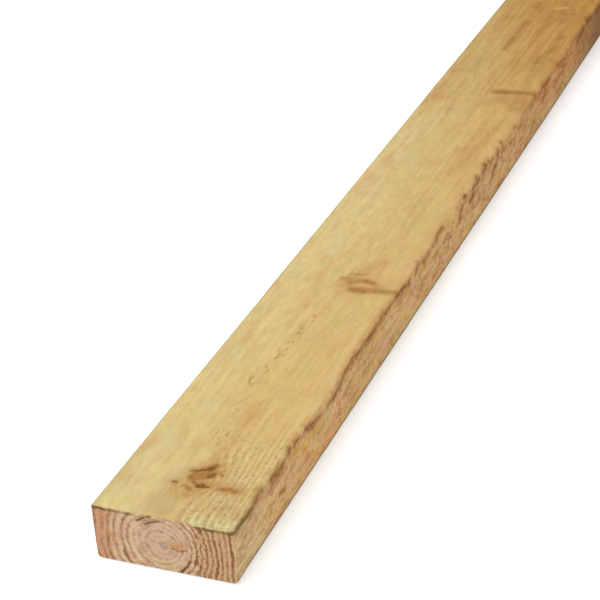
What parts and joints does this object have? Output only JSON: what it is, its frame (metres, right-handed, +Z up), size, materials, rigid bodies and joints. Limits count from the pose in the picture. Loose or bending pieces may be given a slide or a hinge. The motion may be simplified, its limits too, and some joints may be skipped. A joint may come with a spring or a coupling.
{
  "type": "decking board",
  "caption": "Long flat softwood decking board with a plain rectangular section, eased long edges and square-sawn ends, laid across joists as a walking surface.",
  "frame": {"origin": "centre of the underside, halfway along the length and the width", "axes": "+X along the length, away from the end that the picture shows; +Y across the width; +Z up through the thickness, towards the walking face"},
  "size_m": [1.829, 0.089, 0.038],
  "materials": {
    "treated_softwood": "dry, unsealed pressure-treated softwood with a planed but slightly furry face and rough-sawn ends"
  },
  "bodies": {
    "root": {"board": "treated_softwood"}
  },
  "joints": []
}
